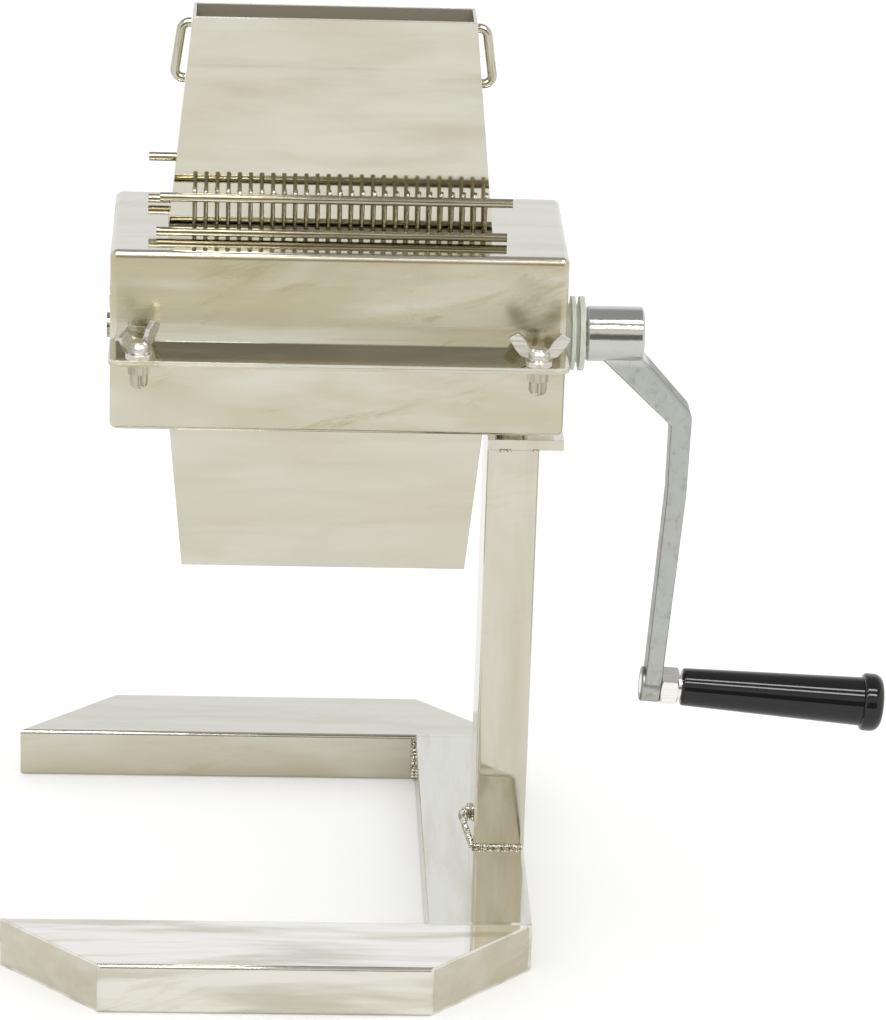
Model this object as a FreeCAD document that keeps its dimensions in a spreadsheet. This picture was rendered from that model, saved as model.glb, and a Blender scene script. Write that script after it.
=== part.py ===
import FreeCAD, Part
import math
import os
import re
import Sketcher

doc = FreeCAD.newDocument("CrankMeatTenderizer")
sheet = doc.addObject("Spreadsheet::Sheet", "Sizes")
vector = FreeCAD.Vector

# Driving sizes in millimetres, angles in degrees. X runs to the crank, Y to the back, Z up.
sizes = {
    # base and post, welded from one rectangular tube
    "tube_width": 50,
    "tube_height": 25,
    "tube_wall": 1.5,
    "tube_corner": 2,
    "base_length": 255,
    "base_depth": 320,
    "post_height": 210,
    # plate on the post and the two bosses that carry the head
    "plate_thickness": 5.2,
    "plate_overhang": 11.5,
    "boss_diameter": 14,
    "boss_height": 9.8,
    "boss_spacing": 30,
    "boss_screw_diameter": 6,
    "boss_screw_depth": 9,
    # head: two pressed boxes, flange to flange
    "head_overhang": 9.2,
    "box_length": 214.7,
    "box_depth": 96,
    "housing_height": 43.5,
    "cover_height": 45.5,
    "sheet_wall": 1.5,
    "bend_radius": 3.5,
    "flange_depth": 29,
    "flange_corner": 6,
    # flange screws
    "screw_diameter": 6,
    "screw_inset": 14.2,
    "screw_edge": 8.9,
    "screw_hole_clearance": 0.3,
    "thread_clearance": 0.05,
    "washer_diameter": 12.5,
    "washer_thickness": 1.2,
    "cap_nut_across": 10,
    "cap_nut_hex": 5.6,
    "cap_nut_height": 13.1,
    "cap_nut_dome": 8.6,
    "cap_nut_dome_radius": 3,
    "cap_nut_bore": 10,
    "wing_hub_diameter": 10.4,
    "wing_hub_height": 5.8,
    "wing_span": 29,
    "wing_rise": 13.1,
    "wing_thickness": 2.4,
    "wing_corner_radius": 1,
    "screw_reach": 8,
    # hopper and chute
    "hopper_height": 103.5,
    "hopper_rim": 22.5,
    "hopper_foot_width": 153.5,
    "hopper_foot_depth": 32,
    "hopper_mouth_width": 132.5,
    "hopper_mouth_depth": 26,
    "hopper_skirt": 6,
    "chute_gap": 1.5,
    "chute_height": 80,
    "chute_top_width": 152,
    "chute_foot_width": 137,
    "chute_depth": 34,
    "handle_wire": 4.5,
    "handle_reach": 5,
    "handle_drop": 6,
    "handle_length": 27,
    "handle_bend": 4,
    # rollers
    "shaft_spacing": 42,
    "shaft_hex": 12,
    "journal_diameter": 12,
    "journal_stub": 2,
    "journal_clearance": 0.05,
    "end_play": 0.5,
    "spacer_diameter": 16,
    "knife_count": 27,
    "knife_pitch": 5.25,
    "knife_thickness": 1,
    "knife_diameter": 47,
    "knife_teeth": 12,
    "tooth_depth": 5,
    "gear_teeth": 21,
    "gear_width": 12,
    "gear_addendum": 1.8,
    "gear_dedendum": 2.4,
    "gear_backlash": 0.5,
    "pressure_angle": 20,
    # bushes
    "bush_neck_diameter": 28,
    "bush_flange_diameter": 35.5,
    "bush_inside": 6,
    "bush_seat_clearance": 0.2,
    "bush_outer_disc": 2.5,
    "bush_groove": 2,
    "bush_inner_disc": 1.9,
    "crank_bush_reach": 9.6,
    # combs
    "comb_lean": 19,
    "comb_clearance": 5.6,
    "comb_rest": 0.8,
    "tine_diameter": 2,
    "tine_reach": 9.5,
    "tine_tip": 3,
    "rod_diameter": 4.3,
    "rod_length": 165,
    "upper_rod_shift": 1.7,
    "lower_rod_shift": 3.5,
    "rear_rod_length": 160,
    "rear_rod_shift": 3,
    "rod_gap": 20,
    "slot_clearance": 0.8,
    # crank: the arm's places are measured from the head's wall and from the shafts
    "hub_diameter": 26.6,
    "hub_length": 27.4,
    "hub_gap": 1,
    "hub_bevel": 1,
    "hub_recess": 1,
    "arm_depth": 16,
    "arm_root_inset": 2,
    "arm_root_outset": 4,
    "arm_root_drop": 5,
    "elbow_inner_offset": 52.9,
    "elbow_inner_drop": 43.7,
    "elbow_outer_offset": 62.9,
    "elbow_outer_drop": 37.7,
    "elbow_radius": 9,
    "arm_bend_drop": 80,
    "arm_bend_width": 9.3,
    "arm_end_width": 8.1,
    "arm_edge_radius": 1.2,
    "arm_tilt": 4.2,
    "eye_diameter": 17,
    "eye_width": 9.7,
    "eye_bevel": 0.6,
    "crank_throw": 181,
    "spindle_offset": 49.7,
    "spindle_diameter": 10,
    "spindle_collar_diameter": 13.4,
    "spindle_collar_length": 1.6,
    "spindle_head_diameter": 15,
    "spindle_head_height": 4,
    "spindle_nut_across": 17,
    "spindle_nut_thickness": 8.5,
    "spindle_nut_bevel": 0.8,
    "set_screw_diameter": 6,
    "set_screw_sink": 0.5,
    "grip_gap": 0.3,
    "grip_clearance": 0.08,
    "grip_length": 99.5,
    "grip_start_diameter": 18.4,
    "grip_end_diameter": 24,
    "grip_knob_diameter": 28.4,
    "grip_knob_length": 10.2,
    "grip_knob_radius": 5,
    "grip_shoulder_radius": 2,
    "grip_start_radius": 1.5,
    "grip_recess_depth": 6,
    "grip_recess_clearance": 0.5,
    "grip_play": 0.2,
}
for row, (name, value) in enumerate(sizes.items(), 1):
    sheet.set(f"A{row}", name)
    sheet.set(f"B{row}", str(value))
    sheet.setAlias(f"B{row}", name)
doc.recompute()

# Places worked out from the sizes, as formulas for the sheet
right = "(tube_height/2)"
left = f"({right} - base_length)"
plate_z = "(tube_height + post_height)"
boss_z = f"({plate_z} + plate_thickness)"
floor_z = f"({boss_z} + boss_height)"
split_z = f"({floor_z} + housing_height)"
top_z = f"({split_z} + cover_height)"
head_right = f"({right} + head_overhang)"
head_left = f"({head_right} - box_length)"
feed_x = "(0 - tube_height/2 - chute_gap - chute_top_width/2)"
feed_inset = f"({feed_x} - {head_left})"
shaft_y = "(shaft_spacing/2)"
screw_y = "(box_depth/2 + flange_depth - screw_edge)"
screw_hole = "screw_diameter/2 + screw_hole_clearance"


def named(formula):
    # The sheet's name goes before each size in the formula
    def full(word):
        return word[0] if word[0] in ("sin", "cos", "tan", "sqrt", "pi") else "Sizes." + word[0]
    return re.sub(r"[a-z]\w*", full, str(formula))


def bind(thing, **formulas):
    for field, formula in formulas.items():
        thing.setExpression(field.replace("__", "."), named(formula))


def place(thing, x="0", y="0", z="0", axis=None, angle="0"):
    if axis:
        thing.Placement = FreeCAD.Placement(vector(), FreeCAD.Rotation(vector(*axis), 1))
        bind(thing, Placement__Rotation__Angle=angle)
    bind(thing, Placement__Base__x=x, Placement__Base__y=y, Placement__Base__z=z)


def new_body(label):
    body = doc.addObject("PartDesign::Body", label)
    body.Label = label
    subparts.append(body)
    return body


def origin(body, role):
    return next(item for item in body.Origin.OriginFeatures if item.Role == role)


def new_sketch(body, plane, offset="0"):
    sketch = body.newObject("Sketcher::SketchObject", body.Label + "_sketch")
    sketch.AttachmentSupport = [(origin(body, plane), "")]
    sketch.MapMode = "FlatFace"
    bind(sketch, AttachmentOffset__Base__z=offset)
    return sketch


def fix_point(sketch, index, point, x, y):
    for kind, formula in (("DistanceX", x), ("DistanceY", y)):
        number = sketch.addConstraint(Sketcher.Constraint(kind, -1, 1, index, point, 1.0))
        sketch.setExpression(f"Constraints[{number}]", named(formula))


def polygon(sketch, points):
    # A closed outline of straight sides through points, each a pair of formulas
    first = len(sketch.Geometry)
    count = len(points)
    turns = [FreeCAD.Rotation(vector(0, 0, 1), 360 * i / count) for i in range(count + 1)]
    around = [turn.multVec(vector(20, 0, 0)) for turn in turns]
    for start, end in zip(around, around[1:]):
        sketch.addGeometry(Part.LineSegment(start, end), False)
    for i, (x, y) in enumerate(points):
        after = first + (i + 1) % count
        sketch.addConstraint(Sketcher.Constraint("Coincident", first + i, 2, after, 1))
        fix_point(sketch, first + i, 1, x, y)


def rectangle(sketch, x_low, x_high, y_low, y_high):
    polygon(sketch, [(x_low, y_low), (x_high, y_low), (x_high, y_high), (x_low, y_high)])


def hexagon(sketch, across, x="0", y="0"):
    turns = [60 * i + 30 for i in range(6)]
    polygon(sketch, [(f"{x} + {across}/sqrt(3)*cos({turn})", f"{y} + {across}/sqrt(3)*sin({turn})")
                     for turn in turns])


def circle(sketch, x, y, radius):
    index = sketch.addGeometry(Part.Circle(vector(), vector(0, 0, 1), 5), False)
    fix_point(sketch, index, 3, x, y)
    number = sketch.addConstraint(Sketcher.Constraint("Radius", index, 5.0))
    sketch.setExpression(f"Constraints[{number}]", named(radius))


def built(feature):
    doc.recompute()
    if feature.State != ["Up-to-date"]:
        raise RuntimeError(f"{feature.Name}: {feature.State}")
    return feature


def pad(body, sketch, length, kind="Pad", reverse=False):
    feature = body.newObject("PartDesign::" + kind, body.Label + "_" + kind.lower())
    feature.Profile = sketch
    feature.Reversed = reverse
    bind(feature, Length=length)
    return built(feature)


def pocket(body, sketch, length, reverse=False):
    before = body.Shape.Volume
    feature = pad(body, sketch, length, "Pocket", reverse)
    if body.Shape.Volume > before - 0.01:
        raise RuntimeError(body.Label + ": a pocket cut nothing")
    return feature


def revolve(body, sketch, axis, kind="Revolution"):
    feature = body.newObject("PartDesign::" + kind, body.Label + "_" + kind.lower())
    feature.Profile = sketch
    feature.ReferenceAxis = (sketch, [axis])
    feature.Angle = 360
    return built(feature)


def row_along_x(body, feature, count, length):
    copies = body.newObject("PartDesign::LinearPattern", body.Label + "_row")
    copies.Originals = [feature]
    copies.Direction = (origin(body, "X_Axis"), [""])
    bind(copies, Length=length, Occurrences=count)
    body.Tip = copies
    return built(copies)


def round_edges(body, radius, chosen):
    edges = [f"Edge{i}" for i, edge in enumerate(body.Shape.Edges, 1) if chosen(edge.BoundBox)]
    base = body.Tip
    feature = body.newObject("PartDesign::Fillet", body.Label + "_fillet")
    feature.Base = (base, edges)
    bind(feature, Radius=radius)
    return built(feature)


def is_along(box, axis):
    # True for the box of a straight edge that runs along the axis
    spans = {"X": box.XLength, "Y": box.YLength, "Z": box.ZLength}
    long = spans.pop(axis)
    return long > 0.5 and max(spans.values()) < 1e-4


def is_outermost(box, whole, axis):
    # True where the box of an edge along the axis lies at a corner of the whole's box
    gaps = {"X": (box.XMin - whole.XMin, whole.XMax - box.XMax),
            "Y": (box.YMin - whole.YMin, whole.YMax - box.YMax),
            "Z": (box.ZMin - whole.ZMin, whole.ZMax - box.ZMax)}
    gaps.pop(axis)
    return is_along(box, axis) and all(min(pair) < 1e-4 for pair in gaps.values())


def is_level(box, height):
    # True for the box of a flat edge or face at the height
    return abs(box.ZMin - height) < 1e-4 and abs(box.ZMax - height) < 1e-4


subparts = []


# Base: two legs cut at 45 degrees at both ends, a side beam between them, and end caps
def tube(label, plane, wide, high, low_x, low_y, start, length):
    # Rectangular tube: its section's low corner is at low_x, low_y of the plane
    body = new_body(label)
    sketch = new_sketch(body, plane, start)
    rectangle(sketch, low_x, f"{low_x} + {wide}", low_y, f"{low_y} + {high}")
    wall = "tube_wall"
    rectangle(sketch, f"{low_x} + {wall}", f"{low_x} + {wide} - {wall}",
              f"{low_y} + {wall}", f"{low_y} + {high} - {wall}")
    pad(body, sketch, length)
    axis = {"XY_Plane": "Z", "YZ_Plane": "X", "XZ_Plane": "Y"}[plane]
    whole = body.Shape.BoundBox
    round_edges(body, "tube_corner", lambda box: is_outermost(box, whole, axis))
    return body


for side, label in ((-1, "base_front_leg"), (1, "base_rear_leg")):
    outer_y = f"({side}*base_depth/2)"
    inner_y = f"({side}*(base_depth/2 - tube_width))"
    low_y = outer_y if side < 0 else inner_y
    leg = tube(label, "YZ_Plane", "tube_width", "tube_height", low_y, "0", left, "base_length")
    mitres = new_sketch(leg, "XY_Plane", "tube_height + 1")
    for end, inward in ((left, 1), (right, -1)):
        polygon(mitres, [(end, inner_y), (f"{end} + {inward}*tube_width", outer_y), (end, outer_y)])
    pocket(leg, mitres, "tube_height + 2")

tube("base_side_beam", "XZ_Plane", "tube_width", "tube_height", f"{right} - tube_width", "0",
     "tube_width - base_depth/2", "base_depth - 2*tube_width")

caps = new_body("base_end_caps")
cap_outline = new_sketch(caps, "XY_Plane", "tube_wall")
for side in (-1, 1):
    for end, inward in ((left, 1), (right, -1)):
        near = f"({side}*(base_depth/2 - tube_width + tube_wall))"
        far = f"({side}*(base_depth/2 - tube_wall))"
        near_x = f"{end} + {inward}*tube_wall"
        far_x = f"{end} + {inward}*(tube_width - tube_wall)"
        thick = f"{inward}*tube_wall*sqrt(2)"
        polygon(cap_outline, [(near_x, near), (far_x, far),
                              (f"{far_x} + {thick}", far), (f"{near_x} + {thick}", near)])
pad(caps, cap_outline, "tube_height - 2*tube_wall")

tube("post", "XY_Plane", "tube_height", "tube_width", "0 - tube_height/2", "0 - tube_width/2",
     "tube_height", "post_height")


# Plate on the post, with two threaded bosses that carry the head
plate = doc.addObject("Part::Box", "mounting_plate")
bind(plate, Length="tube_height + plate_overhang", Width="tube_width", Height="plate_thickness")
place(plate, f"0 - {right}", "0 - tube_width/2", plate_z)
subparts.append(plate)

bosses = new_body("mounting_bosses")
boss_rings = new_sketch(bosses, "XY_Plane", boss_z)
for side in (-1, 1):
    circle(boss_rings, "0", f"{side}*boss_spacing/2", "boss_diameter/2")
    circle(boss_rings, "0", f"{side}*boss_spacing/2", "boss_screw_diameter/2")
pad(bosses, boss_rings, "boss_height")

boss_screws = new_body("mounting_screws")
shanks = new_sketch(boss_screws, "XY_Plane", f"{floor_z} + sheet_wall")
heads = new_sketch(boss_screws, "XY_Plane", f"{floor_z} + sheet_wall")
for side in (-1, 1):
    circle(shanks, "0", f"{side}*boss_spacing/2", "boss_screw_diameter/2")
    circle(heads, "0", f"{side}*boss_spacing/2", "boss_screw_diameter*0.8")
pad(boss_screws, shanks, "sheet_wall + boss_screw_depth", reverse=True)
pad(boss_screws, heads, "boss_screw_diameter*0.55")


# Head: two pressed boxes whose flanges meet in the plane of the shafts
def pressed_box(label, up):
    # up is 1 for the cover, closed at its top, and -1 for the housing, closed at its bottom
    body = new_body(label)
    outline = new_sketch(body, "XY_Plane", split_z if up > 0 else floor_z)
    rectangle(outline, head_left, head_right, "0 - box_depth/2", "box_depth/2")
    pad(body, outline, "cover_height" if up > 0 else "housing_height")
    whole = body.Shape.BoundBox
    closed, mouth = (whole.ZMax, whole.ZMin) if up > 0 else (whole.ZMin, whole.ZMax)
    round_edges(body, "bend_radius", lambda box: is_along(box, "Z") or is_level(box, closed))
    open_faces = [f"Face{i}" for i, face in enumerate(body.Shape.Faces, 1) if is_level(face.BoundBox, mouth)]
    base = body.Tip
    shell = body.newObject("PartDesign::Thickness", label + "_shell")
    shell.Base = (base, open_faces)
    shell.Reversed = True
    bind(shell, Value="sheet_wall")
    built(shell)
    flanges = new_sketch(body, "XY_Plane", split_z if up > 0 else f"{split_z} - sheet_wall")
    for side in (-1, 1):
        rectangle(flanges, head_left, head_right, f"{side}*(box_depth/2 - sheet_wall)",
                  f"{side}*(box_depth/2 + flange_depth)")
    pad(body, flanges, "sheet_wall")
    reach = body.Shape.BoundBox.YMax
    round_edges(body, "flange_corner",
                lambda box: is_along(box, "Z") and abs(abs(box.Center.y) - reach) < 1e-4)
    return body


def screw_places():
    for x in (f"({head_left} + screw_inset)", f"({head_right} - screw_inset)"):
        for side in (-1, 1):
            yield x, f"{side}*{screw_y}"


def flange_holes(body):
    holes = new_sketch(body, "XY_Plane", f"{split_z} + 2*sheet_wall")
    for x, y in screw_places():
        circle(holes, x, y, screw_hole)
    pocket(body, holes, "4*sheet_wall")


def bush_seats(body):
    # Half of each bush hole lies in the cover and half in the housing
    seats = new_sketch(body, "YZ_Plane", f"{head_left} - 1")
    for side in (-1, 1):
        circle(seats, f"{side}*{shaft_y}", split_z, "bush_neck_diameter/2 + bush_seat_clearance")
    pocket(body, seats, "box_length + 2", reverse=True)


def opening(body, level, half_width, half_depth):
    # A rectangular hole through the closed side, whose outer or inner face is near the level
    hole = new_sketch(body, "XY_Plane", f"{level} + 2*sheet_wall")
    rectangle(hole, f"{feed_x} - {half_width}", f"{feed_x} + {half_width}", f"0 - {half_depth}", half_depth)
    pocket(body, hole, "4*sheet_wall")


# The combs lean about the shafts. From a shaft's axis, tine_in is the distance of the tines'
# centre line and rod_in that of the rods', which lie on the tines' outer side.
tine_in = "(spacer_diameter/2 + comb_clearance + tine_diameter/2)"
rod_in = f"({tine_in} - tine_diameter/2 - rod_diameter/2)"
lower_rod_up = f"((cover_height + rod_diameter/2 + comb_rest - {rod_in}*sin(comb_lean))/cos(comb_lean))"
upper_rod_up = f"({lower_rod_up} + rod_gap)"
tine_out = f"((cover_height - {tine_in}*sin(comb_lean))*tan(comb_lean) - {tine_in}*cos(comb_lean))"
slot_y = f"({shaft_y} + {tine_out} + tine_diameter/2/cos(comb_lean) + slot_clearance)"

housing = pressed_box("lower_housing", -1)
flange_holes(housing)
bush_seats(housing)
opening(housing, floor_z, "(chute_top_width/2 - sheet_wall)", "(chute_depth/2 - sheet_wall)")
boss_holes = new_sketch(housing, "XY_Plane", f"{floor_z} + 2*sheet_wall")
for side in (-1, 1):
    circle(boss_holes, "0", f"{side}*boss_spacing/2", "boss_screw_diameter/2")
pocket(housing, boss_holes, "4*sheet_wall")

cover = pressed_box("cover", 1)
flange_holes(cover)
bush_seats(cover)
opening(cover, top_z, "(hopper_foot_width/2)", slot_y)


# Hopper and chute: folded sheet with straight sides between the rectangles at each level
def funnel(label, levels):
    # levels are height, width and depth outside; the wall is the sheet's
    body = new_body(label)
    for kind, inset in (("AdditiveLoft", "0"), ("SubtractiveLoft", "sheet_wall")):
        sections = []
        for height, width, depth in levels:
            section = new_sketch(body, "XY_Plane", height)
            half_x = f"({width}/2 - {inset})"
            half_y = f"({depth}/2 - {inset})"
            rectangle(section, f"{feed_x} - {half_x}", f"{feed_x} + {half_x}", f"0 - {half_y}", half_y)
            sections.append(section)
        loft = body.newObject("PartDesign::" + kind, label + "_" + kind.lower())
        loft.Profile = sections[0]
        loft.Sections = sections[1:]
        loft.Ruled = True
        built(loft)
    return body


hopper_z = f"({top_z} + hopper_height)"
hopper_slope = "((hopper_foot_width - hopper_mouth_width)/2/hopper_height)"
funnel("hopper", [
    (f"{top_z} - hopper_skirt", "hopper_foot_width", "hopper_foot_depth"),
    (top_z, "hopper_foot_width", "hopper_foot_depth"),
    (f"{hopper_z} - hopper_rim", f"(hopper_mouth_width + 2*hopper_rim*{hopper_slope})", "hopper_mouth_depth"),
    (hopper_z, "hopper_mouth_width", "hopper_mouth_depth"),
])
funnel("lower_chute", [
    (f"{floor_z} - chute_height", "chute_foot_width", "chute_depth"),
    (floor_z, "chute_top_width", "chute_depth"),
])

# Wire handles on the hopper's ends. A handle's own origin is where its upper end meets the side.
for turned, label in ((0, "hopper_handle_right"), (180, "hopper_handle_left")):
    handle = new_body(label)
    path = new_sketch(handle, "XZ_Plane")
    side_start = f"(handle_wire/2*{hopper_slope})"
    side_end = f"(handle_length*{hopper_slope})"
    normal = vector(0, 0, 1)
    path.addGeometry([
        Part.LineSegment(vector(0, 0, 0), vector(1, 0, 0)),
        Part.ArcOfCircle(Part.Circle(vector(1, -4, 0), normal, 4), math.radians(6), math.radians(90)),
        Part.LineSegment(vector(5, -4, 0), vector(8, -23, 0)),
        Part.ArcOfCircle(Part.Circle(vector(4, -23, 0), normal, 4), math.radians(-90), math.radians(6)),
        Part.LineSegment(vector(4, -27, 0), vector(3, -27, 0)),
    ], False)
    for first, end, second, start in ((0, 2, 1, 2), (1, 1, 2, 1), (2, 2, 3, 2), (3, 1, 4, 1)):
        path.addConstraint(Sketcher.Constraint("Tangent", first, end, second, start))
    fix_point(path, 0, 1, side_start, "0")
    fix_point(path, 1, 3, "handle_reach - handle_bend", "0 - handle_bend")
    fix_point(path, 3, 3, f"handle_reach + {side_end} - handle_bend", "handle_bend - handle_length")
    fix_point(path, 4, 2, f"{side_start} + {side_end}", "0 - handle_length")
    section = new_sketch(handle, "YZ_Plane", side_start)
    circle(section, "0", "0", "handle_wire/2")
    wire = handle.newObject("PartDesign::AdditivePipe", label + "_pipe")
    wire.Profile = section
    wire.Spine = path
    built(wire)
    out = f"(hopper_mouth_width/2 + handle_drop*{hopper_slope})"
    place(handle, f"{feed_x} + {1 if turned == 0 else -1}*{out}", "0", f"{hopper_z} - handle_drop",
          (0, 0, 1), str(turned))


# Combs: rows of tines dropped through the cover beside the rollers, on two rods each
for side, label, rod_length, upper_shift, lower_shift in (
        (-1, "front_comb", "rod_length", "upper_rod_shift", "lower_rod_shift"),
        (1, "rear_comb", "rear_rod_length", "rear_rod_shift", "rear_rod_shift")):
    where = {"x": f"{feed_x} + {-side}*knife_pitch*3/4", "y": f"{side}*{shaft_y}", "z": split_z,
             "axis": (1, 0, 0), "angle": f"{-side}*comb_lean"}
    tines = new_body(label + "_tines")
    tine = new_sketch(tines, "XY_Plane", "0 - tine_reach")
    circle(tine, "0 - (knife_count - 1)/2*knife_pitch", f"{-side}*{tine_in}", "tine_diameter/2")
    first_tine = pad(tines, tine, f"tine_reach + {upper_rod_up} + tine_tip")
    row_along_x(tines, first_tine, "knife_count", "(knife_count - 1)*knife_pitch")
    place(tines, **where)
    for part, up, shift in (("_upper_rod", upper_rod_up, upper_shift),
                            ("_lower_rod", lower_rod_up, lower_shift)):
        rod = new_body(label + part)
        end = new_sketch(rod, "YZ_Plane", f"0 - {rod_length}/2 - {shift}")
        circle(end, f"{-side}*{rod_in}", up, "rod_diameter/2")
        pad(rod, end, rod_length)
        place(rod, **where)


# Flange screws: cap nuts below, washers and wing screws above
nuts = new_body("cap_nuts")
washers = new_body("flange_washers")
nut_top = f"({split_z} - sheet_wall)"
nut_hexes = new_sketch(nuts, "XY_Plane", f"{nut_top} - cap_nut_hex")
nut_domes = new_sketch(nuts, "XY_Plane", f"{nut_top} - cap_nut_height")
nut_bores = new_sketch(nuts, "XY_Plane", nut_top)
rings = new_sketch(washers, "XY_Plane", f"{split_z} + sheet_wall")
for x, y in screw_places():
    hexagon(nut_hexes, "cap_nut_across", x, y)
    circle(nut_domes, x, y, "cap_nut_dome/2")
    circle(nut_bores, x, y, "screw_diameter/2 + thread_clearance")
    circle(rings, x, y, "washer_diameter/2")
    circle(rings, x, y, screw_hole)
pad(nuts, nut_hexes, "cap_nut_hex")
pad(nuts, nut_domes, "cap_nut_height - cap_nut_hex")
nut_foot = nuts.Shape.BoundBox.ZMin
round_edges(nuts, "cap_nut_dome_radius", lambda box: is_level(box, nut_foot))
pocket(nuts, nut_bores, "cap_nut_bore")
pad(washers, rings, "washer_thickness")

# A wing screw's hub as shares of its radius and height, and a wing's outline, from its root out
# and back, as shares of the span and the rise
hub_shape = ((0.88, 0), (1, 0.18), (1, 0.6), (0.84, 0.84), (0.62, 1))
wing_shape = ((0.19, 0.07), (0.31, 0.18), (0.4, 0.45), (0.5, 0.8), (0.34, 1), (0.23, 0.74), (0.16, 0.46))
wing_turns = {"front_left": 53, "front_right": -3, "rear_left": 20, "rear_right": -35}
for corner, rest_turn in wing_turns.items():
    screw = new_body("wing_screw_" + corner)
    profile = new_sketch(screw, "XZ_Plane")
    shank_low = "(0 - washer_thickness - 2*sheet_wall - screw_reach)"
    polygon(profile, [("0", shank_low), ("screw_diameter/2", shank_low), ("screw_diameter/2", "0")]
            + [(f"wing_hub_diameter/2*{out}", f"wing_hub_height*{up}") for out, up in hub_shape]
            + [("0", "wing_hub_height")])
    revolve(screw, profile, "V_Axis")
    for side in (-1, 1):
        wing = new_sketch(screw, "XZ_Plane", "0 - wing_thickness/2")
        root_x = f"{side}*wing_hub_diameter/4"
        polygon(wing, [(root_x, "wing_rise*0.07")]
                + [(f"{side}*wing_span*{out}", f"wing_rise*{up}") for out, up in wing_shape]
                + [(root_x, "wing_hub_height*0.75")])
        pad(screw, wing, "wing_thickness")
    hub_reach = sizes["wing_hub_diameter"] * 0.7
    round_edges(screw, "wing_corner_radius",
                lambda box: is_along(box, "Y") and abs(box.Center.x) > hub_reach)
    x = f"{head_left} + screw_inset" if corner.endswith("left") else f"{head_right} - screw_inset"
    y = f"0 - {screw_y}" if corner.startswith("front") else screw_y
    place(screw, x, y, f"{split_z} + sheet_wall + washer_thickness", (0, 0, 1), str(rest_turn))


# Rollers: a hexagonal shaft with round ends that carries toothed knives, spacers and a gear.
# A roller's own x starts at the outside of the head's left wall.
hex_start = "(sheet_wall + bush_inside + end_play)"
hex_end = f"(box_length - {hex_start})"
gear_start = f"({hex_end} - gear_width)"
hub_start = "(crank_bush_reach + hub_gap)"
hub_end = f"({hub_start} + hub_length)"
pitch_radius = "(shaft_spacing/2)"
half_tooth = "(pi*shaft_spacing/gear_teeth/4 - gear_backlash/2)"


def shaft(label, end_length):
    body = new_body(label)
    middle = new_sketch(body, "YZ_Plane", hex_start)
    hexagon(middle, "shaft_hex")
    pad(body, middle, f"{hex_end} - {hex_start}")
    for start, length in (("0 - journal_stub", f"journal_stub + {hex_start}"),
                          (hex_end, f"{hex_start} + {end_length}")):
        journal = new_sketch(body, "YZ_Plane", start)
        circle(journal, "0", "0", "journal_diameter/2")
        pad(body, journal, length)
    return body


def knives(label, first_knife):
    body = new_body(label)
    blade = new_sketch(body, "YZ_Plane", first_knife)
    points = []
    for i in range(2 * sizes["knife_teeth"]):
        radius = "(knife_diameter/2)" if i % 2 else "(knife_diameter/2 - tooth_depth)"
        turn = f"({180 * i}/knife_teeth)"
        points.append((f"{radius}*cos({turn})", f"{radius}*sin({turn})"))
    polygon(blade, points)
    hexagon(blade, "shaft_hex")
    row_along_x(body, pad(body, blade, "knife_thickness"), "knife_count", "(knife_count - 1)*knife_pitch")
    return body


def spacers(label, first_knife, last_knife):
    body = new_body(label)

    def ring(start, length):
        face = new_sketch(body, "YZ_Plane", start)
        circle(face, "0", "0", "spacer_diameter/2")
        hexagon(face, "shaft_hex")
        return pad(body, face, length)

    between = ring(f"{first_knife} + knife_thickness", "knife_pitch - knife_thickness")
    row_along_x(body, between, "knife_count - 1", "(knife_count - 2)*knife_pitch")
    ring(hex_start, f"{first_knife} - {hex_start}")
    ring(f"{last_knife} + knife_thickness", f"{gear_start} - {last_knife} - knife_thickness")
    return body


def gear(label, tooth_turn):
    body = new_body(label)
    disc = new_sketch(body, "YZ_Plane", gear_start)
    circle(disc, "0", "0", f"{pitch_radius} - gear_dedendum")
    hexagon(disc, "shaft_hex")
    pad(body, disc, "gear_width")
    tooth = new_sketch(body, "YZ_Plane", gear_start)
    root = f"({pitch_radius} - gear_dedendum - 1)"
    tip = f"({pitch_radius} + gear_addendum)"
    root_half = f"({half_tooth} + (gear_dedendum + 1)*tan(pressure_angle))"
    tip_half = f"({half_tooth} - gear_addendum*tan(pressure_angle))"
    corners = ((root, f"0 - {root_half}"), (tip, f"0 - {tip_half}"), (tip, tip_half), (root, root_half))
    turn = f"({tooth_turn})"
    polygon(tooth, [(f"{along}*cos{turn} - ({across})*sin{turn}", f"{along}*sin{turn} + ({across})*cos{turn}")
                    for along, across in corners])
    one = pad(body, tooth, "gear_width")
    around = body.newObject("PartDesign::PolarPattern", label + "_teeth")
    around.Originals = [one]
    around.Axis = (origin(body, "X_Axis"), [""])
    around.Angle = 360
    bind(around, Occurrences="gear_teeth")
    body.Tip = around
    built(around)
    return body


# The driven gear has a gap where the drive gear has a tooth
for side, name, end_length, tooth_turn in ((-1, "drive", f"{hub_end} - hub_recess", "0"),
                                           (1, "driven", "journal_stub", "180 - 180/gear_teeth")):
    middle_knife = f"({feed_inset} + {-side}*knife_pitch/4)"
    first_knife = f"({middle_knife} - (knife_count - 1)/2*knife_pitch - knife_thickness/2)"
    last_knife = f"({first_knife} + (knife_count - 1)*knife_pitch)"
    for piece in (shaft(name + "_shaft", end_length), knives(name + "_knives", first_knife),
                  spacers(name + "_spacers", first_knife, last_knife), gear(name + "_gear", tooth_turn)):
        place(piece, head_left, f"{side}*{shaft_y}", split_z)


# Bushes, held between cover and housing. A bush's own x starts at the wall's outside, inwards.
def bush(label, side, profile, wall, inwards):
    body = new_body(label)
    half = new_sketch(body, "XZ_Plane")
    polygon(half, [(f"{inwards}*({along})", radius) for along, radius in profile])
    revolve(body, half, "H_Axis")
    place(body, wall, f"{side}*{shaft_y}", split_z)


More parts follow.
